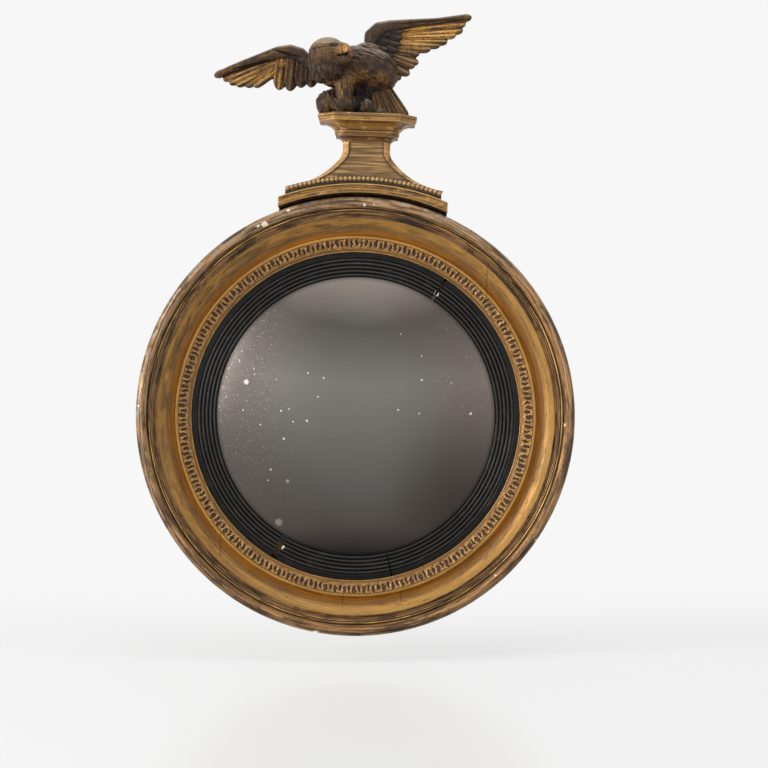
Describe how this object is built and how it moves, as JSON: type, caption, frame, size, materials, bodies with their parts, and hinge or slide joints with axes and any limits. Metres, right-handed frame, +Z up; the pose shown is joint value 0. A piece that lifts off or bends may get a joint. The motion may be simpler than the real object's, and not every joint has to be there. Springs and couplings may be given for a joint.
{
  "type": "convex mirror with eagle crest",
  "caption": "Round convex wall mirror in a deep gilded frame with a black reeded slip, leaf ornament, and a carved eagle standing on a waisted pedestal.",
  "frame": {"origin": "centre of the round frame on the wall plane, at the back of the middle backboard", "axes": "+Z up towards the crest, +X to the right of someone facing the mirror, -Y out of the wall towards that person"},
  "size_m": [0.6, 0.084, 0.8606],
  "materials": {
    "gilt_wood": "burnished and oil gilding over red bole, worn and toned brown",
    "gilt_carving": "carved wood with worn dark gilding and bole showing",
    "gilt_composition": "pressed composition ornament, gilded, dirt in the recesses",
    "ebonised_wood": "ebonised and lacquered black, satin, scuffed on the crests",
    "pine": "old unfinished pine, oxidised brown",
    "mirror_glass": "aged silvered glass, grey, with foxing spots",
    "silvering": "tin amalgam, dulled",
    "brass": "tarnished brass",
    "iron": "black forged iron",
    "steel": "dull old iron and steel fixings"
  },
  "bodies": {
    "frame": {"backboard_left": "pine", "backboard_middle": "pine", "backboard_nails": "steel", "backboard_right": "pine", "convex_glass": "mirror_glass", "crest_strap_left": "iron", "crest_strap_right": "iron", "crest_strap_screws": "steel", "eagle_body": "gilt_carving", "eagle_head": "gilt_carving", "eagle_left_wing": "gilt_carving", "eagle_right_wing": "gilt_carving", "eagle_rockwork": "gilt_carving", "eagle_screws": "steel", "eagle_tail": "gilt_carving", "front_felloe_1": "gilt_wood", "front_felloe_2": "gilt_wood", "front_felloe_3": "gilt_wood", "front_felloe_4": "gilt_wood", "front_felloe_5": "gilt_wood", "front_felloe_6": "gilt_wood", "glass_blocks": "pine", "hanger_plate": "brass", "hanger_screws": "steel", "leaf_moulding_1": "gilt_composition", "leaf_moulding_2": "gilt_composition", "leaf_moulding_3": "gilt_composition", "leaf_moulding_4": "gilt_composition", "neck_dowel": "pine", "pedestal_base_moulding": "gilt_wood", "pedestal_bead_rail": "gilt_wood", "pedestal_body": "gilt_wood", "pedestal_cap_moulding": "gilt_wood", "pedestal_dowels": "pine", "pedestal_neck_moulding": "gilt_wood", "pedestal_saddle": "ebonised_wood", "pedestal_top_board": "gilt_wood", "rear_felloe_1": "pine", "rear_felloe_2": "pine", "rear_felloe_3": "pine", "rear_felloe_4": "pine", "rear_felloe_5": "pine", "rear_felloe_6": "pine", "silvering": "silvering", "slip_bottom": "ebonised_wood", "slip_left": "ebonised_wood", "slip_right": "ebonised_wood", "wing_dowels": "pine"},
    "ring": {"hanging_ring": "brass"}
  },
  "joints": [
    {"name": "ring_swing", "type": "hinge", "parent": "frame", "child": "ring", "pos_m": [0, -0.0045, 0.254], "axis": [1, 0, 0], "range_deg": [0, 180]}
  ]
}
